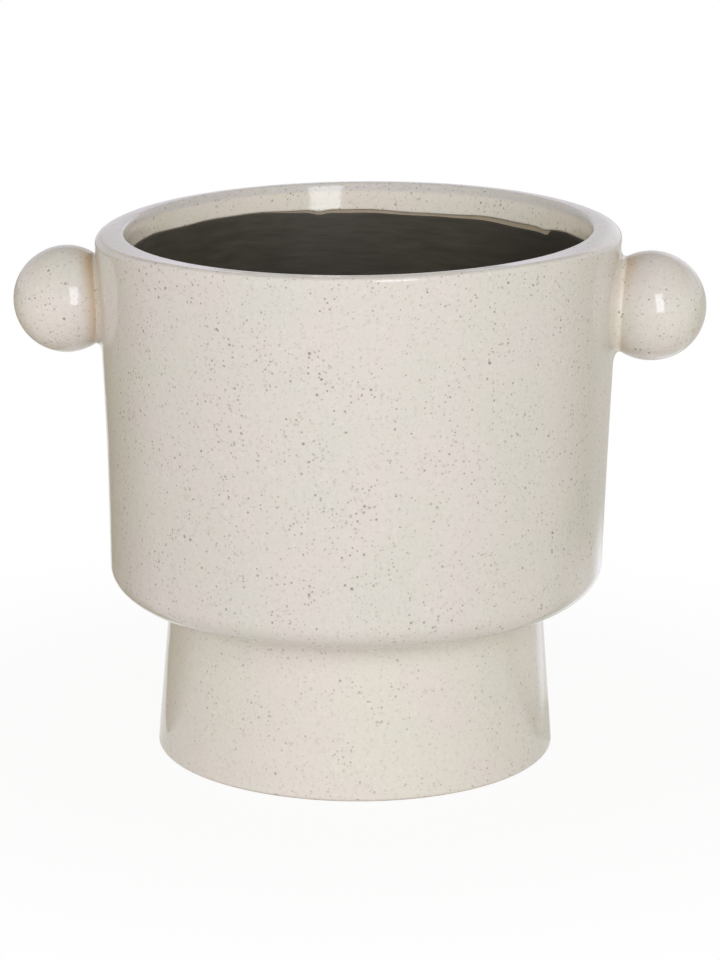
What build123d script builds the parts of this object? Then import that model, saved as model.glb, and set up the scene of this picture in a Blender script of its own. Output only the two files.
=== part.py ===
from build123d import *
import os
from math import sqrt

# A footed stoneware cachepot with two ball knobs. Millimetres, +Z up, the origin is the
# centre of the foot's base, and the knobs lie along X.

# Bowl: outside
rim_diameter = 250.0
pot_height = 255.0
wall_taper = 6.25
wall_hollow = 1.0
lower_edge_width = 24.0
lower_edge_height = 16.0
crown_height = 5.0

# Bowl: inside
rim_thickness = 14.0
rim_inner_rounding = 2.0
rim_flat = 0.5
lip_depth = 9.0
lip_flare = 1.3
lip_blend = 25.0
lower_wall_thickness = 11.5
floor_thickness = 12.0
inner_corner_radius = 18.0

# Foot
foot_height = 76.0
bowl_overhang = 28.75
foot_flare = 6.0
foot_wall = 11.0
foot_outer_rounding = 2.0
foot_inner_rounding = 2.0
crease_radius = 3.0

# Knobs
ball_diameter = 51.2
knob_below_rim = 10.8
ball_sink = 9.2

# Collars of clay round the knobs' joints
collar_height = 2.8
collar_lip = 0.6
collar_draw = 3.6
collar_width = 13.5
collar_fall = 8.8
collar_turn_width = 8.4
collar_turn_fall = 4.6

# Dark coating inside the bowl
coating_drop = 13.0
coating_thickness = 0.6

# How far a cutting solid runs past what it cuts
overrun = 10.0

# Sizes that follow from the ones above
rim_radius = rim_diameter / 2
lower_radius = rim_radius - wall_taper
inner_rim_radius = rim_radius - rim_thickness
throat_radius = inner_rim_radius - lip_flare
throat_height = pot_height - lip_depth
inner_floor_radius = lower_radius - lower_wall_thickness
floor_top = foot_height + floor_thickness
wall_start = foot_height + lower_edge_height
wall_end = pot_height - crown_height
crown_width = rim_thickness - rim_inner_rounding - rim_flat
foot_top_radius = lower_radius - bowl_overhang
foot_base_radius = foot_top_radius + foot_flare
ball_radius = ball_diameter / 2
knob_height = pot_height - knob_below_rim - ball_radius


def wall_circle():
    """Centre and radius of the shallow arc that the outside of the wall follows."""
    run = rim_radius - lower_radius
    rise = wall_end - wall_start
    chord = sqrt(run**2 + rise**2)
    radius = ((chord / 2) ** 2 + wall_hollow**2) / (2 * wall_hollow)
    reach = radius - wall_hollow
    centre_r = (lower_radius + rim_radius) / 2 + reach * rise / chord
    centre_z = (wall_start + wall_end) / 2 - reach * run / chord
    return centre_r, centre_z, radius


def wall_radius(z):
    """Outside radius of the wall at a height."""
    centre_r, centre_z, radius = wall_circle()
    return centre_r - sqrt(radius**2 - (z - centre_z) ** 2)


ball_centre = wall_radius(knob_height) + ball_radius - ball_sink
collar_crest = wall_radius(knob_height) + collar_height
collar_radius = sqrt(ball_radius**2 - (ball_centre - collar_crest) ** 2) + collar_lip


def turned(outline):
    """Solid of revolution about the pot's axis from an outline in radius and height."""
    return revolve(make_face(Plane.XZ * outline), Axis.Z)


def pot_blank(growth=0.0):
    """The bowl's outside as one filled solid, or one whose wall stands further out by the growth."""
    edge_centre_r = lower_radius - lower_edge_width
    wall_middle = (wall_start + wall_end) / 2
    crown_centre_r = rim_radius - crown_width
    outline = Line((-growth, foot_height), (edge_centre_r, foot_height))
    outline += EllipticalCenterArc(
        (edge_centre_r, wall_start), lower_edge_width, lower_edge_height, 270, arc_size=90
    )
    outline += ThreePointArc(
        (lower_radius, wall_start), (wall_radius(wall_middle), wall_middle), (rim_radius, wall_end)
    )
    outline += EllipticalCenterArc((crown_centre_r, wall_end), crown_width, crown_height, 0, arc_size=90)
    outline += Polyline((crown_centre_r, pot_height), (-growth, pot_height), (-growth, foot_height))
    return turned(Pos(growth, 0, 0) * outline)


def cavity(inset=0.0):
    """The space inside the bowl, or the space left inside a skin of that thickness."""
    top = pot_height + overrun
    floor = floor_top + inset
    floor_r = inner_floor_radius - inset
    throat_r = throat_radius - inset
    top_r = throat_r + lip_flare * (top - throat_height) / lip_depth
    outline = Polyline(
        (0, floor), (floor_r, floor), (throat_r, throat_height), (top_r, top), (0, top), (0, floor)
    )
    section = make_face(Plane.XZ * outline)
    throat = section.vertices().sort_by_distance((throat_r, 0, throat_height))[0]
    section = fillet(throat, lip_blend)
    corner = section.vertices().sort_by_distance((floor_r, 0, floor))[0]
    section = fillet(corner, inner_corner_radius - inset)
    return revolve(section, Axis.Z)


def space_above(z):
    """The space above a height, as wide as the rim or wider."""
    return Pos(0, 0, z) * Cylinder(rim_diameter, pot_height, align=(Align.CENTER, Align.CENTER, Align.MIN))


def make_bowl():
    bowl = pot_blank() - cavity()
    top_edges = bowl.edges().group_by(Axis.Z)[-1]
    inner_edge = top_edges.sort_by(SortBy.RADIUS)[0]
    return fillet(inner_edge, rim_inner_rounding)


def make_foot():
    """Flared ring, open underneath, with a small outward sweep where it meets the bowl."""
    side = sqrt(foot_flare**2 + foot_height**2)
    rise = foot_height - crease_radius * (side + foot_flare) / side
    crease_r = foot_base_radius - foot_flare * rise / foot_height
    lip_r = crease_r + crease_radius * foot_height / side
    outline = Line((foot_base_radius, 0), (crease_r, rise))
    outline += TangentArc((crease_r, rise), (lip_r, foot_height), tangent=(-foot_flare, foot_height))
    outline += Polyline(
        (lip_r, foot_height),
        (foot_top_radius - foot_wall, foot_height),
        (foot_base_radius - foot_wall, 0),
        (foot_base_radius, 0),
    )
    section = make_face(Plane.XZ * outline)
    outer_edge = section.vertices().sort_by_distance((foot_base_radius, 0, 0))[0]
    section = fillet(outer_edge, foot_outer_rounding)
    inner_edge = section.vertices().sort_by_distance((foot_base_radius - foot_wall, 0, 0))[0]
    section = fillet(inner_edge, foot_inner_rounding)
    return revolve(section, Axis.Z)


def ball():
    """The right-hand ball, whole."""
    return Pos(ball_centre, 0, knob_height) * Sphere(ball_radius)


def on_side(piece, side):
    """A piece made for the right-hand side, put on either side."""
    return piece if side > 0 else mirror(piece, Plane.YZ)


def make_knob(side):
    """Ball pressed against the wall, its inner side scribed to the wall as a saddle."""
    return on_side(ball() - pot_blank(), side)


def make_collar(side):
    """Coil of clay round the joint, with a lip parallel to the wall, that thins away over it."""
    outer = collar_crest + overrun
    tail_r = collar_radius + collar_width
    tail_a = collar_crest - collar_fall
    outline = Polyline((collar_crest, collar_radius), (outer, collar_radius), (outer, 0), (0, 0))
    outline += Polyline((0, 0), (0, tail_r), (tail_a, tail_r))
    outline += Bezier(
        (tail_a, tail_r),
        (tail_a + collar_turn_fall, tail_r - collar_turn_width),
        (collar_crest - collar_draw, collar_radius),
        (collar_crest, collar_radius),
    )
    coil = Pos(0, 0, knob_height) * revolve(make_face(Plane.XZ * outline), Axis.X)
    coil = (coil & pot_blank(collar_height)) - space_above(wall_end)
    return on_side(coil - pot_blank() - ball(), side)


def make_coating():
    """Dark skin on the inside of the bowl, from the floor up to below the glazed band."""
    skin = cavity() - cavity(coating_thickness)
    return skin - space_above(pot_height - coating_drop)


os.makedirs("parts", exist_ok=True)
pieces = {
    "bowl": make_bowl(),
    "pedestal_foot": make_foot(),
    "knob_left": make_knob(-1),
    "knob_right": make_knob(1),
    "knob_collar_left": make_collar(-1),
    "knob_collar_right": make_collar(1),
    "inner_coating": make_coating(),
}
for node, piece in pieces.items():
    export_step(piece, f"parts/{node}.step")
    box = piece.bounding_box()
    print(node, "volume", round(piece.volume), "solids", len(piece.solids()), "size", box.size)
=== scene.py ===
import math

import bpy
import numpy as np
from mathutils import Matrix


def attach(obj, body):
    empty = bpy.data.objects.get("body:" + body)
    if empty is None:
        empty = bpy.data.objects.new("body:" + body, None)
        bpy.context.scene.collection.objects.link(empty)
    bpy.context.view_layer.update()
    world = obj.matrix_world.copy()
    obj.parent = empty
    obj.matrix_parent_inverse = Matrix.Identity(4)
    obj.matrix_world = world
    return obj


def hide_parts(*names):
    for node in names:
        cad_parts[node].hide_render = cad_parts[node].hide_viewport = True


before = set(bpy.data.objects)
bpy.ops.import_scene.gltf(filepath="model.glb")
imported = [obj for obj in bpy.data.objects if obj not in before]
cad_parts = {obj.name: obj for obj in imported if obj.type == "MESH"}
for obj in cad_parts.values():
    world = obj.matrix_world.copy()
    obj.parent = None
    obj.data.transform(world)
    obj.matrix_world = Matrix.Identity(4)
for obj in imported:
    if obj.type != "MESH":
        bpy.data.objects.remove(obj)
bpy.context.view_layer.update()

# Sizes in millimetres, the same as the CAD's
RIM_R, POT_H = 125.0, 255.0
WALL_LOW_R, WALL_HOLLOW = 118.75, 1.0
EDGE_W, EDGE_H = 24.0, 16.0
CROWN_W, CROWN_H, LIP_ROUND = 11.5, 5.0, 2.0
RIM_IN_R, THROAT_R, THROAT_Z = 111.0, 109.7, 246.0
FLOOR_R, FLOOR_Z, FLOOR_CORNER = 107.25, 88.0, 18.0
FOOT_H, FOOT_TOP_R, FOOT_BASE_R, FOOT_WALL = 76.0, 90.0, 96.0, 11.0
FOOT_CREASE, FOOT_ROUND = 3.0, 2.0
KNOB_Z = 218.6

# Sizes that follow from them
WALL_Z0, WALL_Z1 = FOOT_H + EDGE_H, POT_H - CROWN_H
CROWN_R = RIM_R - CROWN_W
LIP_SLOPE = (RIM_IN_R - THROAT_R) / (POT_H - THROAT_Z)
WALL_SLOPE = (THROAT_R - FLOOR_R) / (THROAT_Z - FLOOR_Z)
CORNER_R, CORNER_Z = FLOOR_R - FLOOR_CORNER, FLOOR_Z + FLOOR_CORNER
FOOT_FLARE = FOOT_BASE_R - FOOT_TOP_R

# Sizes that only the scene has: the rounding of the rim's front edge, how far it rises and stands
# out and where the slope to the flat starts, the blend under the lip, the top of the glazed band
# inside with its radius and lean, and how far the coating's two sides are over and in the clay
FRONT_ROUND, FRONT_RISE, FRONT_OUT, FRONT_FLAT_R = 1.9, 1.15, 0.13, 122.0
THROAT_BLEND = 3.5
LINING_TOP, LINING_TOP_R, LINING_LEAN = 252.2, 110.65, 0.185
SKIN, SKIN_DEPTH = 0.3, 0.4

# Height inside the bowl where its rings, which follow the glaze's edge above, become level
LEVEL_Z = 228.0

# Angles of the points in each ring of the pot and of the knobs
RING_POINTS, KNOB_POINTS = 288, 144
ANGLES = np.arange(RING_POINTS) * 2 * math.pi / RING_POINTS
TURN = np.arange(KNOB_POINTS) * 2 * math.pi / KNOB_POINTS


def smooth(x):
    x = np.clip(x, 0.0, 1.0)
    return x * x * (3 - 2 * x)


def bell(x):
    """One at zero, falling off smoothly on both sides."""
    return np.exp(-(x**2))


def hump(angle, centre, width):
    """A smooth bump round the pot, one at centre and falling off over width, in degrees."""
    return bell(((np.degrees(angle) - centre + 180) % 360 - 180) / width)


def humps(angle, rows):
    """The sum of several bumps, each given as its height, centre and width."""
    return sum(height * hump(angle, centre, width) for height, centre, width in rows)


# The pot's surfaces, with the slight unevenness of hand-finished pottery. An angle of 0 is the
# pot's right side, 90 degrees its back and 270 its front.

# Waves of the wall: height in mm, number round the pot, start, and change with height
WAVES = ((0.16, 2, 0.6, 0.0), (0.12, 3, -1.1, 0.011), (0.07, 5, 2.0, -0.024), (0.05, 2, 0.0, 0.071))

# Bulges of the wall: height in mm, angle and width in degrees, and place and width up the wall
BULGES = ((0.7, 0, 45, 155.0, 60.0), (-0.15, 180, 45, 160.0, 55.0))

# How far the pot is lifted at its middle, right side and front, and the sag of its lower edge at
# the left, with the sag's place and width up the wall
LIFT, LIFT_RIGHT, LIFT_FRONT = 0.25, 1.95, 0.3
SAG, SAG_Z, SAG_REACH = 0.75, 86.0, 16.0

# How far the glaze's lower edge is below the rim, where it hangs lower than that (or higher, below
# zero), and its drips: millimetres, then angle and width in degrees
EDGE_DROP = 12.2
EDGE_HUMPS = ((2.0, 70, 32), (0.6, 150, 14), (-0.7, 157, 5), (0.9, 36, 12), (-1.2, 8, 9))
DRIPS = ((1.1, 102, 2.0), (0.8, 34.5, 2.2))

# Where the glaze breaks brown along the rim, besides a faint share all round
RIM_LINE_SHARE, RIM_LINE_WIDTH = 0.1, 0.55
RIM_LINE_HUMPS = ((1.1, 195, 19), (0.2, 335, 12))


def wall_arc():
    """Centre and radius of the shallow arc that the outside of the wall follows."""
    run, rise = RIM_R - WALL_LOW_R, WALL_Z1 - WALL_Z0
    chord = math.hypot(run, rise)
    radius = ((chord / 2) ** 2 + WALL_HOLLOW**2) / (2 * WALL_HOLLOW)
    reach = radius - WALL_HOLLOW
    centre_r = (WALL_LOW_R + RIM_R) / 2 + reach * rise / chord
    centre_z = (WALL_Z0 + WALL_Z1) / 2 - reach * run / chord
    return centre_r, centre_z, radius


ARC_R, ARC_Z, ARC_RADIUS = wall_arc()


def true_wall_radius(z):
    """Outside radius of the wall at a height, without its unevenness."""
    return ARC_R - np.sqrt(ARC_RADIUS**2 - (np.clip(z, WALL_Z0, WALL_Z1) - ARC_Z) ** 2)


def wobble(angle, z):
    """How far the turned surface strays from true, outwards, in millimetres."""
    stray = 0.0
    for size, count, start, rate in WAVES:
        stray = stray + size * np.sin(count * angle + start + rate * z)
    for size, centre, width, middle, reach in BULGES:
        stray = stray + size * hump(angle, centre, width) * bell((z - middle) / reach)
    return stray


def rim_lift(x, y, z):
    """The pot leans a little: its right side stands higher than its left, and the bowl's lower
    edge hangs lower still on the left."""
    share = np.clip(z / POT_H, 0, 1.02)
    sag = SAG * np.clip(-x / RIM_R, 0, 1) ** 1.5 * bell((z - SAG_Z) / SAG_REACH)
    front = np.clip(-y / RIM_R, 0, 1)
    return share * (LIFT + LIFT_RIGHT * x / RIM_R) + share**8 * LIFT_FRONT * front - sag


def inner_radius(z):
    """Inside of the bowl: a straight wall, the leaning lip above and the round corner below."""
    over = z - THROAT_Z
    lean = (LIP_SLOPE - WALL_SLOPE) * (over + np.sqrt(over**2 + THROAT_BLEND**2)) / 2
    low = np.clip(CORNER_Z - z, 0, FLOOR_CORNER)
    corner = FLOOR_CORNER - np.sqrt(FLOOR_CORNER**2 - low**2)
    return FLOOR_R + WALL_SLOPE * (z - FLOOR_Z) + lean - corner


def lining_radius(z):
    """Inside of the glazed band, which leans evenly from the lip down to the glaze's edge."""
    return LINING_TOP_R - LINING_LEAN * (LINING_TOP - z)


def glaze_edge(angle):
    """Height of the glaze's lower edge inside the bowl, which runs unevenly."""
    front_wave = 0.9 * np.sin(3 * angle + 2.4) * hump(angle, 270, 60)
    ripple = 0.25 * np.sin(11 * angle) * (0.4 + hump(angle, 60, 40))
    fine_ripple = 0.12 * np.sin(23 * angle + 1.0)
    return POT_H - (EDGE_DROP + humps(angle, EDGE_HUMPS) + front_wave + ripple + fine_ripple)


def coating_edge(angle):
    """Height of the dark coating's upper edge, which leaves a bare strip in one stretch."""
    degrees = (np.degrees(angle) + 180) % 360 - 180
    strip = smooth((degrees - 32.5) / 1.6) * smooth((118 - degrees) / 16)
    width = 1.1 + 1.0 * hump(angle, 38, 22) + 0.2 * np.sin(9 * angle)
    return glaze_edge(angle) - humps(angle, DRIPS) - 0.25 - strip * width


# Mesh making


def arc(centre_r, centre_z, width, height, start, end, count):
    """Points along part of an ellipse, in radius and height, from one angle to another."""
    t = np.radians(np.linspace(start, end, count))
    return np.c_[centre_r + width * np.cos(t), centre_z + height * np.sin(t)]


class Shell:
    """Rings of points that make one mesh, each closed on itself, with the value of each attribute
    at their points. A ring of one point is a pole."""

    def __init__(self, *attributes):
        self.rings = []
        self.values = {key: [] for key in attributes}

    def add(self, ring, **values):
        self.rings.append(ring)
        for key, rows in self.values.items():
            rows.append(np.broadcast_to(values.get(key, 0.0), len(ring)).astype(np.float32))

    def ring(self, r, z, stray=1.0, **values):
        """One ring of the pot: radius and height may vary round it, and stray is its share of the
        wall's unevenness."""
        r = np.broadcast_to(r, ANGLES.shape) + stray * wobble(ANGLES, z)
        z = np.broadcast_to(z, ANGLES.shape)
        x, y = r * np.cos(ANGLES), r * np.sin(ANGLES)
        self.add(np.c_[x, y, z + rim_lift(x, y, z)], **values)

    def pole(self, x, z, **values):
        self.add(np.array([[x, 0.0, z]]), **values)

    def faces(self, closed):
        """Faces between each ring and the next, and between the last and the first if closed."""
        starts = np.cumsum([0] + [len(ring) for ring in self.rings])
        last = len(self.rings) - 1
        faces = []
        for i in range(last + closed):
            j = 0 if i == last else i + 1
            a, b, n, m = int(starts[i]), int(starts[j]), len(self.rings[i]), len(self.rings[j])
            count = max(n, m)
            for k in range(count):
                k2 = (k + 1) % count
                if n == 1:
                    faces.append((a, b + k2, b + k))
                elif m == 1:
                    faces.append((a + k, a + k2, b))
                else:
                    faces.append((a + k, a + k2, b + k2, b + k))
        return faces

    def build(self, name, closed=False):
        """The object, in metres."""
        verts = [tuple(p * 0.001) for ring in self.rings for p in ring]
        faces = self.faces(closed)
        mesh = bpy.data.meshes.new(name)
        mesh.from_pydata(verts, [], faces)
        mesh.polygons.foreach_set("use_smooth", [True] * len(faces))
        for key, rows in self.values.items():
            layer = mesh.attributes.new(key, "FLOAT", "POINT")
            layer.data.foreach_set("value", np.concatenate(rows))
        mesh.update()
        mesh.validate()
        return in_scene(bpy.data.objects.new(name, mesh))


def in_scene(obj):
    bpy.context.scene.collection.objects.link(obj)
    return obj


# The bowl

# The glaze's rounded lower edge and the bare clay below it: height above the edge, and how much
# of the glaze's thickness there is. Clay shows below the one height, and the rings between the
# lip and the other are evenly spaced.
GLAZE_ROLL = (
    (4.0, 1.0), (3.3, 1.0), (2.6, 1.0), (2.0, 1.0), (1.5, 1.0), (1.1, 1.0), (0.7, 0.98),
    (0.42, 0.9), (0.2, 0.65), (0.06, 0.35), (0.0, 0.0),
    (-0.3, 0.0), (-0.9, 0.0), (-2.2, 0.0), (-4.0, 0.0), (-7.0, 0.0),
)
CLAY_BELOW, LINING_END = 0.1, 4.6


def crown_rings():
    """The rim from the wall's end to its flat: an oval crown at the sides and the back, a tighter
    edge along the front. Each ring comes with how far it is from the wall's end, in millimetres,
    and how much of the tight edge it has."""
    front = smooth((-np.sin(ANGLES) - 0.15) / 0.65)
    t = np.radians(90 * np.linspace(0, 1, 31) ** 1.3)
    oval = np.c_[CROWN_R + CROWN_W * np.cos(t), WALL_Z1 + CROWN_H * np.sin(t)]
    edge_r, edge_z = RIM_R + FRONT_OUT - FRONT_ROUND, POT_H + FRONT_RISE - FRONT_ROUND

    # The tight edge: the wall running on up, the rounded edge, and a slope down to the flat
    rise = np.linspace(0, edge_z - WALL_Z1, 8)
    outside = np.c_[RIM_R + 0.065 * rise - 0.0077 * rise**2, WALL_Z1 + rise]
    edge = arc(edge_r, edge_z, FRONT_ROUND, FRONT_ROUND, 0, 97, 12)[1:]
    slope_r = np.linspace(FRONT_FLAT_R, CROWN_R, 12)
    slope_z = np.linspace(edge_z + FRONT_ROUND - 0.12, POT_H, 12)
    tight = np.vstack([outside, edge, np.c_[slope_r, slope_z]])
    for (oval_r, oval_z), (tight_r, tight_z) in zip(oval[1:], tight[1:]):
        r = oval_r + (tight_r - oval_r) * front
        z = oval_z + (tight_z - oval_z) * front
        yield r, z, np.hypot(RIM_R - r, z - WALL_Z1), front


def build_bowl():
    bowl = Shell("bare", "tan", "pale")
    bowl.pole(0.0, FOOT_H)
    for r in (30, 55, 72, 80, 86, 91):
        bowl.ring(r, FOOT_H)
    for r, z in arc(WALL_LOW_R - EDGE_W, WALL_Z0, EDGE_W, EDGE_H, 270, 360, 22)[:-1]:
        bowl.ring(r, z)
    for z in np.linspace(WALL_Z0, WALL_Z1, 60):
        bowl.ring(true_wall_radius(z), z)

    rim_line = RIM_LINE_SHARE + humps(ANGLES, RIM_LINE_HUMPS)
    for r, z, along, front in crown_rings():
        line = 4.3 + 1.6 * front
        bowl.ring(r, z, tan=rim_line * bell((along - line) / RIM_LINE_WIDTH))
    lip_r, lip_z = RIM_IN_R + LIP_ROUND, POT_H - LIP_ROUND
    for r, z in arc(lip_r, lip_z, LIP_ROUND, LIP_ROUND, 90, 170, 9):
        bowl.ring(r, z)

    edge = glaze_edge(ANGLES)
    smear = 0.07 + 0.05 * np.sin(4 * ANGLES + 0.5) + 0.03 * np.sin(9 * ANGLES)
    # The glazed band and its roll carry painted light, brightened against the shade inside the
    # bowl.
    for t in np.linspace(0, 1, 8):
        z = LINING_TOP + (edge + LINING_END - LINING_TOP) * t
        bowl.ring(lining_radius(z), z, tan=smooth(t * 3) * smear, pale=smooth(t * 3))
    for up, share in GLAZE_ROLL:
        z = edge + up - humps(ANGLES, DRIPS) * smooth((2.2 - up) / 1.6)
        wall_r = inner_radius(z)
        r = wall_r + (lining_radius(z) - wall_r) * share
        bowl.ring(r, z, bare=float(up < CLAY_BELOW), tan=smear, pale=1.0)

    for z in np.linspace(LEVEL_Z, CORNER_Z, 16):
        bowl.ring(inner_radius(z), z, bare=1.0)
    for r, z in arc(CORNER_R, CORNER_Z, FLOOR_CORNER, FLOOR_CORNER, 0, -90, 9)[1:]:
        bowl.ring(r, z, bare=1.0)
    for r in (70, 50, 30):
        bowl.ring(r, FLOOR_Z, bare=1.0)
    bowl.pole(0.0, FLOOR_Z, bare=1.0)
    return bowl.build("glazed_bowl")


# The dark coating inside

# The coating's rounded upper edge: height above its edge, and how far it stands off the wall
COATING_EDGE = (
    (-3.0, -0.4), (-0.3, -0.3), (0.0, 0.02), (-0.05, 0.16), (-0.2, 0.26),
    (-0.5, SKIN), (-1.5, SKIN), (-4, SKIN), (-8, SKIN),
)


def build_coating():
    coating = Shell()
    top = coating_edge(ANGLES)
    for up, proud in COATING_EDGE:
        coating.ring(inner_radius(top + up) - proud, top + up)
    for z in np.linspace(LEVEL_Z, CORNER_Z, 30):
        coating.ring(inner_radius(z) - SKIN, z)
    inner = FLOOR_CORNER - SKIN
    for r, z in arc(CORNER_R, CORNER_Z, inner, inner, 0, -90, 10)[1:]:
        coating.ring(r, z)
    for r in (75, 60, 45, 30, 15):
        coating.ring(r, FLOOR_Z + SKIN)
    coating.pole(0.0, FLOOR_Z + SKIN)

    coating.pole(0.0, FLOOR_Z - SKIN_DEPTH)
    for r in (15, 30, 45, 60, 75):
        coating.ring(r, FLOOR_Z - SKIN_DEPTH)
    outer = FLOOR_CORNER + SKIN_DEPTH
    for r, z in arc(CORNER_R, CORNER_Z, outer, outer, -90, 0, 8):
        coating.ring(r, z)
    for z in np.linspace(CORNER_Z + 5, LEVEL_Z, 8):
        coating.ring(inner_radius(z) + SKIN_DEPTH, z)
    return coating.build("dark_inner_coating", closed=True)


# The foot

# Clay shows on the foot below this height, and the middle of the ring that it stands on
FOOT_CLAY_Z, STAND_R = 0.7, 89.5


def build_foot():
    foot = Shell("bare", "pale")

    # Painted light brightens the whole foot a little, standing in for light from the floor.
    def add(r, z, clay=0.0):
        foot.ring(r, z, stray=0.8, bare=clay, pale=0.2)

    slant = math.hypot(FOOT_FLARE, FOOT_H)
    rake = math.degrees(math.asin(FOOT_FLARE / slant))
    rise = FOOT_H - FOOT_CREASE * (slant + FOOT_FLARE) / slant
    crease_r = FOOT_BASE_R - FOOT_FLARE * rise / FOOT_H + FOOT_CREASE * FOOT_H / slant

    base_r = FOOT_BASE_R - FOOT_ROUND * (FOOT_FLARE / FOOT_H + math.cos(math.radians(rake)))
    for r, z in arc(base_r, FOOT_ROUND, FOOT_ROUND, FOOT_ROUND, 270, 360 + rake, 14):
        add(r, z, float(z < FOOT_CLAY_Z))
    side_start = float(foot.rings[-1][0, 2])
    for z in np.linspace(side_start, rise, 34)[1:]:
        add(FOOT_BASE_R - FOOT_FLARE * z / FOOT_H, z)
    crease_z = FOOT_H - FOOT_CREASE
    for r, z in arc(crease_r, crease_z, FOOT_CREASE, FOOT_CREASE, 180 + rake, 90, 10)[1:]:
        add(r, z)

    inside_r = FOOT_TOP_R - FOOT_WALL
    add((crease_r + inside_r) / 2, FOOT_H)
    add(inside_r, FOOT_H)
    for z in np.linspace(FOOT_H - 1.0, 3.0, 20):
        add(inside_r + FOOT_FLARE * (1 - z / FOOT_H), z, smooth((14 - z) / 4.0))
    round_r = FOOT_BASE_R - FOOT_WALL + FOOT_ROUND
    for r, z in arc(round_r, FOOT_ROUND, FOOT_ROUND, FOOT_ROUND, 180, 270, 7):
        add(r, z, 1.0)
    add(STAND_R, 0.0, 1.0)
    return foot.build("glazed_pedestal_foot", closed=True)


# The knobs and their collars. Each is made about the knob's own axis, with a the distance from
# the pot's axis, rho the distance from the knob's, and TURN the angle about it, 90 degrees up.

UPPER, LOWER = np.clip(np.sin(TURN), 0, 1), np.clip(-np.sin(TURN), 0, 1)

# First guesses of where the wall and the line are, which a few rounds bring to the true place
GUESS_A, GUESS_RHO = 120.0, 21.5


class Knob:
    """One side's ball and collar. The centre is the ball's distance from the pot's axis. Ball and
    collar meet at a line that stands off the wall by a little more or less at the top, the front
    and the bottom, and along it the glaze breaks tan by the band."""

    def __init__(self, side, radius, centre, top, front, bottom, band):
        self.side, self.radius, self.centre, self.band = side, radius, centre, band
        off = front + (top - front) * UPPER**2 + (bottom - front) * LOWER**2
        self.line_rho = np.full(TURN.shape, GUESS_RHO)
        for _ in range(8):
            self.line_a = self.wall(self.line_rho) + off
            self.line_rho = self.ball_rho(self.line_a)

    def ball_rho(self, a):
        return np.sqrt(self.radius**2 - (self.centre - a) ** 2)

    def place(self, a, rho):
        a = np.broadcast_to(a, TURN.shape)
        return np.c_[self.side * a, -self.side * rho * np.cos(TURN), KNOB_Z + rho * np.sin(TURN)]

    def wall(self, rho):
        """How far out along the knob's axis the pot's wall is, at a distance from that axis."""
        y, z = -self.side * rho * np.cos(TURN), KNOB_Z + rho * np.sin(TURN)
        a = np.full_like(y, GUESS_A)
        for _ in range(6):
            angle = np.arctan2(y, self.side * a)
            height = z - rim_lift(self.side * a, y, z)
            a = np.sqrt((true_wall_radius(height) + wobble(angle, height)) ** 2 - y**2)
        return a

    def build_ball(self, name, light):
        # The light share is painted light that brightens the whole ball.
        ball = Shell("tan", "pale")
        ball.pole(self.side * (self.centre - self.radius), KNOB_Z, pale=light)

        # Turns from the ball's inner pole, in degrees, closest together where the collar is
        hidden = np.linspace(8, 50, 7, endpoint=False)
        joint = np.linspace(50, 90, 40, endpoint=False)
        outside = np.linspace(90, 176, 40)
        tan_reach = 3.6 + 2.6 * UPPER**3
        for t in np.radians(np.concatenate([hidden, joint, outside])):
            a, rho = self.centre - self.radius * math.cos(t), self.radius * math.sin(t)
            stray = 0.14 * np.sin(2 * TURN + self.side + a * 0.09)
            stray += 0.08 * np.sin(3 * TURN + 2.0 - a * 0.13)
            beyond = np.clip(a - self.line_a, 0, None)
            ring = self.place(a, rho * (1 + stray * math.sin(t) / self.radius))
            ball.add(ring, tan=self.band * bell(beyond / tan_reach), pale=light)
        ball.pole(self.side * (self.centre + self.radius), KNOB_Z, pale=light)
        return ball.build(name)

    def build_collar(self, name, spread, skirt, tan_reach, light):
        """Clay round the ball: a skirt that leaves the ball smoothly, turns and thins away over
        the wall to nothing at the spread's distance from the line."""
        # The light share is painted light that brightens the collar, fading out over the wall.
        collar = Shell("tan", "pale")
        top_a = self.line_a + skirt
        top_rho = self.ball_rho(top_a)
        lean = (self.centre - top_a) / top_rho
        for a, rho in ((top_a - 0.4, top_rho - 1.2), (top_a + 0.15, top_rho - 0.06 + 0.15 * lean)):
            collar.add(self.place(a, rho), tan=self.band, pale=light)

        # A curve with four control points, in distance from the axis and in height above the wall
        end_rho = self.line_rho + 0.5 + spread
        stands = top_a - self.wall(top_rho)
        start_rho = top_rho + 0.04
        radii = (start_rho, start_rho - 0.4 * lean * stands, end_rho - 0.6 * spread, end_rho)
        heights = (stands, 0.3 * stands, 0.0, -0.02)
        for t in np.linspace(0, 1, 28):
            weights = ((1 - t) ** 3, 3 * (1 - t) ** 2 * t, 3 * (1 - t) * t**2, t**3)
            rho = sum(w * r for w, r in zip(weights, radii))
            a = self.wall(rho) + sum(w * h for w, h in zip(weights, heights))
            tan = self.band * bell((top_a - a) / tan_reach)
            collar.add(self.place(a, rho), tan=tan, pale=light * (1 - t))

        # Its hidden side, inside the wall
        collar.add(self.place(self.wall(end_rho + 1.0) - 0.15, end_rho + 1.0))
        collar.add(self.place(self.wall(end_rho + 0.8) - 1.5, end_rho + 0.8))
        collar.add(self.place(112.0, self.line_rho - 1.5))
        return collar.build(name, closed=True)


# Materials


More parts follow.
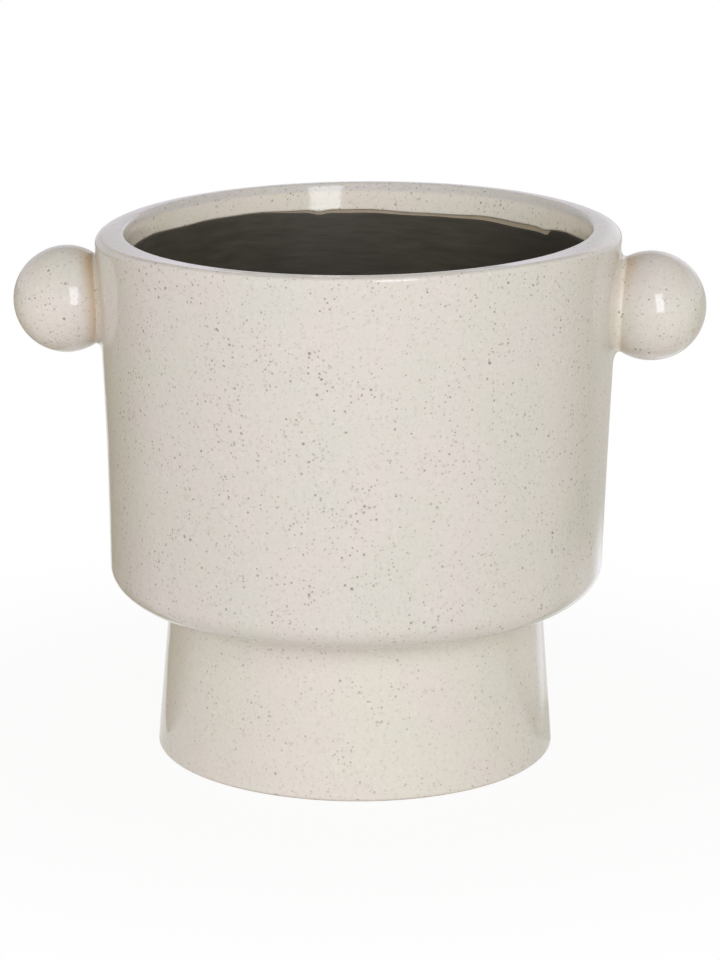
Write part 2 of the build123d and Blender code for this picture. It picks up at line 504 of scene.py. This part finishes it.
class Nodes:
    """Short names for building the node tree of a material or a world."""

    def __init__(self, owner, space="Object"):
        owner.use_nodes = True
        self.owner, self.tree = owner, owner.node_tree
        self.tree.nodes.clear()
        self.coords = self.add("ShaderNodeTexCoord").outputs[space]

    def add(self, kind, inputs=None, **settings):
        node = self.tree.nodes.new(kind)
        for key, value in settings.items():
            setattr(node, key, value)
        for key, value in (inputs or {}).items():
            self.put(node.inputs[key], value)
        return node

    def put(self, socket, value):
        """A link where the value is a node's output, else a number, a vector or a colour."""
        if isinstance(value, bpy.types.NodeSocket):
            self.tree.links.new(value, socket)
        else:
            socket.default_value = (*value, 1.0) if socket.type == "RGBA" else value

    def math(self, operation, a, b=0.0, clamp=False):
        settings = {"operation": operation, "use_clamp": clamp}
        return self.add("ShaderNodeMath", {0: a, 1: b}, **settings).outputs[0]

    def times(self, first, *others):
        for other in others:
            first = self.math("MULTIPLY", first, other)
        return first

    def ramp(self, value, low, high, out_low=0.0, out_high=1.0):
        """A smooth change from one value to another as the input goes from low to high."""
        inputs = {"Value": value, "From Min": low, "From Max": high}
        inputs.update({"To Min": out_low, "To Max": out_high})
        return self.add("ShaderNodeMapRange", inputs, interpolation_type="SMOOTHSTEP").outputs[0]

    def noise(self, scale, detail=2.0, rough=0.5, coords=None):
        inputs = {"Scale": scale, "Detail": detail, "Roughness": rough}
        inputs["Vector"] = coords or self.coords
        return self.add("ShaderNodeTexNoise", inputs).outputs["Fac"]

    def mix(self, share, first, second):
        """Two colours mixed."""
        inputs = {0: share, 6: first, 7: second}
        return self.add("ShaderNodeMix", inputs, data_type="RGBA").outputs[2]

    def blend(self, share, first, second):
        """Two shaders mixed."""
        return self.add("ShaderNodeMixShader", {0: share, 1: first, 2: second}).outputs[0]

    def glow(self, kind, colour, strength):
        return self.add(kind, {"Color": colour, "Strength": strength}).outputs[0]

    def attribute(self, name):
        return self.add("ShaderNodeAttribute", attribute_name=name).outputs["Fac"]

    def xyz(self):
        return self.add("ShaderNodeSeparateXYZ", {0: self.coords}).outputs

    def bump(self, strength, distance, height):
        inputs = {"Strength": strength, "Distance": distance, "Height": height}
        return self.add("ShaderNodeBump", inputs).outputs[0]

    def surface(self, shader, kind="ShaderNodeOutputMaterial"):
        self.add(kind, {"Surface": shader})
        return self.owner


def specks(n, scale, radius, spread, cluster, seed=0.0):
    """Round specks of scattered sizes and strengths, one where the surface passes near a random
    point. Radius and spread are shares of the points' spacing. On the foot they are fainter."""
    inputs = {0: n.coords, 1: (seed, seed * 1.7, -seed)}
    shifted = n.add("ShaderNodeVectorMath", inputs, operation="ADD").outputs[0]
    cells = n.add("ShaderNodeTexVoronoi", {"Vector": shifted, "Scale": scale}, feature="F1")
    pick = n.add("ShaderNodeSeparateColor", {0: cells.outputs["Color"]}).outputs
    limit = n.math("ADD", n.times(pick[0], spread), radius)
    inside = n.math("SUBTRACT", n.times(limit, cluster), cells.outputs["Distance"])
    strength = n.math("ADD", n.times(n.math("POWER", pick[1], 2.0), 0.82), 0.13)
    on_foot = n.ramp(n.xyz()[2], 0.070, 0.085, 0.7, 1.0)
    return n.times(n.ramp(inside, -0.08, 0.11), strength, on_foot)


CREAM, WARM_CREAM = (0.722, 0.664, 0.632), (0.703, 0.668, 0.618)
GREY_MOTTLE, PALE_MOTTLE = (0.55, 0.51, 0.465), (0.80, 0.76, 0.72)
DARK_SPECK, BROWN_SPECK = (0.28, 0.255, 0.225), (0.29, 0.26, 0.23)
LONE_SPECK = (0.31, 0.265, 0.215)
TAN_SPOT, TAN_EDGE = (0.60, 0.47, 0.32), (0.64, 0.46, 0.28)
# The second colour on the next line is the tint of the painted light that brightens parts of the
# glaze.
WHITE, PAINTED_LIGHT_TINT = (1, 1, 1), (1.25, 1.24, 1.16)
CLAY, PALE_CLAY = (0.42, 0.33, 0.23), (0.58, 0.49, 0.37)
GLAZE_ROUGH, CLAY_ROUGH, GLAZE_IOR = 0.07, 0.75, 1.52


def glaze_material():
    """Mottled cream glaze with specks, tan where it thins, painted light that brightens the inner
    band, the foot, the knobs and the collars, and the bare clay."""
    n = Nodes(bpy.data.materials.new("speckled_cream_glaze"))
    body = n.mix(n.ramp(n.noise(26), 0.38, 0.64), CREAM, WARM_CREAM)
    body = n.mix(n.ramp(n.noise(520, 3.0, 0.6), 0.53, 0.72, 0.0, 0.45), body, GREY_MOTTLE)
    body = n.mix(n.ramp(n.noise(420), 0.55, 0.72, 0.0, 0.35), body, PALE_MOTTLE)

    cluster = n.ramp(n.noise(70, 3.0, 0.6), 0.34, 0.70, 0.5, 1.05)
    body = n.mix(specks(n, 460, 0.14, 0.19, cluster), body, DARK_SPECK)
    body = n.mix(specks(n, 360, 0.10, 0.20, cluster, seed=0.137), body, BROWN_SPECK)
    even = n.ramp(n.noise(30, 1.0), 0.35, 0.7, 0.7, 1.1)
    body = n.mix(specks(n, 300, 0.0, 0.23, even, seed=0.291), body, LONE_SPECK)
    patch = n.ramp(n.noise(22), 0.5, 0.68)
    body = n.mix(n.times(specks(n, 170, 0.0, 0.30, patch, seed=0.411), 0.4), body, TAN_SPOT)

    streak = n.ramp(n.noise(60, 3.0), 0.3, 0.7, 0.6, 1.0)
    tan = n.math("MULTIPLY", n.attribute("tan"), streak, clamp=True)
    body = n.mix(n.times(tan, 0.8), body, TAN_EDGE)
    # Painted light: the colour is brightened on the glazed band inside, the foot, the knobs and the
    # collars, standing in for light they lack.
    painted_light_gain = n.mix(n.attribute("pale"), WHITE, PAINTED_LIGHT_TINT)
    body = n.add("ShaderNodeVectorMath", {0: body, 1: painted_light_gain}, operation="MULTIPLY").outputs[0]

    clay = n.ramp(n.attribute("bare"), 0.3, 0.7)
    colour = n.mix(clay, body, n.mix(n.noise(120, 4.0, 0.6), CLAY, PALE_CLAY))
    rough = n.ramp(clay, 0.0, 1.0, GLAZE_ROUGH, CLAY_ROUGH)
    relief = n.math("ADD", n.times(n.noise(900, 2.0, 0.6), 0.05), n.noise(70, 1.5, 0.4))
    bump = n.bump(0.10, 0.002, relief)
    inputs = {"Base Color": colour, "Roughness": rough, "Normal": bump, "IOR": GLAZE_IOR}
    return n.surface(n.add("ShaderNodeBsdfPrincipled", inputs).outputs[0])


COAT, PALE_COAT = (0.067, 0.059, 0.044), (0.101, 0.088, 0.067)
COAT_PATCH, COAT_RIGHT = (0.06, 0.053, 0.04), (0.04, 0.036, 0.028)


def coating_material():
    """Dark coating with brush marks that run round the pot, darker at the right."""
    n = Nodes(bpy.data.materials.new("brushed_dark_coating"))
    x, y, z = n.xyz()
    round_pot = n.times(n.math("ARCTAN2", y, x), 0.12)
    along = n.add("ShaderNodeCombineXYZ", {0: round_pot, 1: n.times(z, 6.0), 2: 0.0}).outputs[0]
    brush = n.noise(48, 5.0, 0.62, coords=along)
    tone = n.mix(n.ramp(brush, 0.3, 0.75), COAT, PALE_COAT)
    tone = n.mix(n.ramp(n.noise(14), 0.35, 0.7, 0.0, 0.5), tone, COAT_PATCH)
    tone = n.mix(n.ramp(x, 0.045, 0.10, 0.0, 0.8), tone, COAT_RIGHT)
    rough = n.ramp(brush, 0.2, 0.8, 0.42, 0.58)
    bump = n.bump(0.25, 0.0006, brush)
    inputs = {"Base Color": tone, "Roughness": rough, "Normal": bump}
    return n.surface(n.add("ShaderNodeBsdfPrincipled", inputs).outputs[0])


FLOOR_TONE, DIM_FLOOR, STRIP_LIGHT = (0.90, 0.89, 0.85), (1.0, 0.91, 0.56), (0.96, 0.98, 1.06)
POT_HALF_WIDTH = 0.115


def floor_material():
    """Pale floor that the camera sees as white, apart from the pot's shadow. Reflections see it
    white behind and in front of the pot, dimmer and warmer at the sides, and brightest in a strip
    at the right of the foot."""
    n = Nodes(bpy.data.materials.new("pale_floor"))
    sees = n.add("ShaderNodeLightPath").outputs
    x, y, _ = n.xyz()

    # Bearing from the pot's edge, in radians: 0 is straight back, a quarter turn the side
    outside = n.math("MAXIMUM", n.math("SUBTRACT", n.math("ABSOLUTE", x), POT_HALF_WIDTH), 0.0)
    bearing = n.math("ARCTAN2", outside, y)
    on_right = n.math("GREATER_THAN", x, 0.0)
    on_left = n.math("SUBTRACT", 1.0, on_right)
    away = n.math("SQRT", n.math("ADD", n.times(x, x), n.times(y, y)))

    left_part = n.times(n.ramp(bearing, 0.26, 0.40, 0.9, 0.0), on_left)
    right_part = n.times(n.ramp(bearing, 0.60, 1.0, 0.5, 0.1), on_right)
    beside = n.times(n.ramp(away, 0.35, 0.5, 0.85, 0.0), n.ramp(y, 0.0, 0.1), on_right)
    behind = n.math("MAXIMUM", n.math("ADD", left_part, right_part), beside)
    ahead = n.ramp(bearing, 1.0, 1.7, 0.0, 0.8)
    bright = n.math("MAXIMUM", behind, ahead)
    strip = n.times(n.ramp(bearing, 0.12, 0.35), n.ramp(bearing, 0.42, 0.66, 1.0, 0.0), beside)

    white = n.glow("ShaderNodeEmission", WHITE, 1.0)
    dim = n.glow("ShaderNodeEmission", DIM_FLOOR, 0.3)
    strip_glow = n.glow("ShaderNodeEmission", STRIP_LIGHT, 1.4)
    lit = n.add("ShaderNodeBsdfDiffuse", {"Color": FLOOR_TONE}).outputs[0]
    mirrored = n.blend(strip, n.blend(bright, dim, white), strip_glow)

    # Near the pot a little of the lit floor shows through, with the shadow
    clear = n.ramp(away, 0.12, 0.4, 0.93, 1.0)
    direct = n.math("MAXIMUM", sees["Is Camera Ray"], sees["Is Transmission Ray"])
    surface = n.blend(n.times(sees["Is Glossy Ray"], clear), lit, mirrored)
    return n.surface(n.blend(n.times(direct, clear), surface, white))


glaze = glaze_material()
dark = coating_material()

# Pieces on the frame

left = Knob(-1, 25.5, 138.95, top=1.6, front=1.5, bottom=2.7, band=1.0 + 0.35 * np.sin(TURN))
right = Knob(1, 26.25, 139.85, top=3.4, front=3.3, bottom=3.0, band=0.15 + 0.85 * np.sin(TURN) ** 2)
left_spread = 4.5 + 6.5 * np.cos(TURN) ** 2 - 0.8 * np.sin(TURN)
right_spread = 5.6 + 5.0 * np.cos(TURN) ** 2

bowl, foot = build_bowl(), build_foot()
# Each light share is painted light that brightens that ball or collar.
left_ball = left.build_ball("glazed_knob_left", light=0.25)
right_ball = right.build_ball("glazed_knob_right", light=0.15)
left_collar = left.build_collar(
    "glazed_collar_left", left_spread, skirt=0.4, tan_reach=0.5, light=0.3
)
right_collar = right.build_collar(
    "glazed_collar_right", right_spread, skirt=0.3, tan_reach=1.2, light=0.75
)
coating = build_coating()

pieces = [
    (bowl, "bowl", "speckled_glaze", glaze),
    (foot, "pedestal_foot", "speckled_glaze", glaze),
    (left_ball, "knob_left", "speckled_glaze", glaze),
    (right_ball, "knob_right", "speckled_glaze", glaze),
    (left_collar, "knob_collar_left", "speckled_glaze", glaze),
    (right_collar, "knob_collar_right", "speckled_glaze", glaze),
    (coating, "inner_coating", "dark_coating", dark),
]
for obj, node, slot, material in pieces:
    obj.data.materials.append(material)
    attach(obj, "root")
    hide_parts(node)

# Floor and studio light, in metres

FLOOR_HALF, FLOOR_DROP = 9.0, 0.0002
LAMP_AIM = np.array([0.0, 0.0, 0.19])

corners = [(x * FLOOR_HALF, y * FLOOR_HALF, 0) for x, y in ((-1, -1), (1, -1), (1, 1), (-1, 1))]
floor_mesh = bpy.data.meshes.new("studio_floor")
floor_mesh.from_pydata(corners, [], [(0, 1, 2, 3)])
floor_mesh.materials.append(floor_material())
floor = in_scene(bpy.data.objects.new("studio_floor", floor_mesh))
floor.location = (0, 0, -FLOOR_DROP)


def pose(right_way, back, place):
    """Matrix of a lamp or camera at a place, which faces away from its back direction."""
    up = np.cross(back, right_way)
    rows = [[float(v) for v in row] for row in zip(right_way, up, back, place)]
    return Matrix(rows + [[0.0, 0.0, 0.0, 1.0]])


def area_lamp(name, azimuth, elevation, distance, width, height, radiance, colour):
    """A soft rectangular lamp aimed at the pot, its angles in degrees and its sizes in metres.
    Azimuth 0 is the camera's side, and the right is positive."""
    a, e = math.radians(azimuth), math.radians(elevation)
    away = np.array([math.sin(a) * math.cos(e), -math.cos(a) * math.cos(e), math.sin(e)])
    lamp = bpy.data.lights.new(name, "AREA")
    lamp.shape, lamp.size, lamp.size_y = "RECTANGLE", width, height
    lamp.energy = radiance * math.pi * width * height
    lamp.color = colour
    obj = in_scene(bpy.data.objects.new(name, lamp))
    obj.matrix_world = pose((math.cos(a), math.sin(a), 0.0), away, LAMP_AIM + distance * away)
    return obj


area_lamp("key_softbox", 18, 18.5, 3.0, 0.9, 2.1, 4.7, (0.94, 1.0, 1.08))
fills = [
    area_lamp("front_fill", -32, 14, 3.6, 2.5, 1.8, 2.15, (1.0, 0.95, 1.06)),
    area_lamp("left_fill", -62, 15, 2.6, 1.5, 1.2, 0.8, (1.0, 0.98, 0.78)),
    area_lamp("right_fill", 50, 15, 2.6, 1.5, 1.2, 1.7, (1.0, 0.92, 0.82)),
]
for fill in fills:
    fill.visible_glossy = False

AMBIENT, AMBIENT_STRENGTH, ROOM = (1.0, 1.0, 0.88), 0.375, (0.95, 0.93, 1.04)


def build_world(world):
    """White to the camera, a shaped room to reflections, and an even light to all else."""
    n = Nodes(world, "Generated")
    sees = n.add("ShaderNodeLightPath").outputs
    x, _, z = n.xyz()

    # The room is dimmer high up and at the left, and brightest low down behind on the right
    level = n.times(
        n.ramp(z, 0.41, 0.47, 1.0, 0.48),
        n.ramp(x, -0.5, -0.05, 0.74, 1.0),
        n.ramp(x, 0.05, 0.2, 1.0, 1.35),
        n.ramp(x, 0.35, 0.5, 1.0, 0.74),
    )
    ambient = n.glow("ShaderNodeBackground", AMBIENT, AMBIENT_STRENGTH)
    room = n.glow("ShaderNodeBackground", ROOM, level)
    backdrop = n.glow("ShaderNodeBackground", WHITE, 1.0)
    seen = n.blend(sees["Is Glossy Ray"], backdrop, room)
    direct = n.math("MAXIMUM", sees["Is Camera Ray"], sees["Is Transmission Ray"])
    direct_or_glossy = n.math("MAXIMUM", direct, sees["Is Glossy Ray"])
    return n.surface(n.blend(direct_or_glossy, ambient, seen), "ShaderNodeOutputWorld")


bpy.context.scene.world = build_world(bpy.data.worlds.new("studio"))

# Camera, as fitted to the pot's outline in the photograph: metres, radians and pixels

CAM_OUT, CAM_UP, CAM_TURN = 1.9017, 0.6360, math.radians(1.7)
CAM_PITCH, CAM_YAW, CAM_ROLL = 0.2597, 0.0009, 0.0060
CAM_FOCAL_PX, IMAGE_LONG_PX, SENSOR = 4077.9, 960, 36.0

heading = CAM_YAW - CAM_TURN
level_out = math.cos(CAM_PITCH)
cam_back = (-math.sin(heading) * level_out, -math.cos(heading) * level_out, math.sin(CAM_PITCH))
cam_right = (math.cos(heading), -math.sin(heading), 0.0)
cam_place = (CAM_OUT * math.sin(CAM_TURN), -CAM_OUT * math.cos(CAM_TURN), CAM_UP)

cam = bpy.data.cameras.new("photo_camera")
cam.sensor_width = SENSOR
cam.lens = CAM_FOCAL_PX / IMAGE_LONG_PX * SENSOR
cam.clip_start, cam.clip_end = 0.05, 60
cam_obj = in_scene(bpy.data.objects.new("photo_camera", cam))
cam_obj.matrix_world = pose(cam_right, cam_back, cam_place) @ Matrix.Rotation(CAM_ROLL, 4, "Z")
bpy.context.scene.camera = cam_obj
bpy.context.scene.view_settings.view_transform = "Standard"
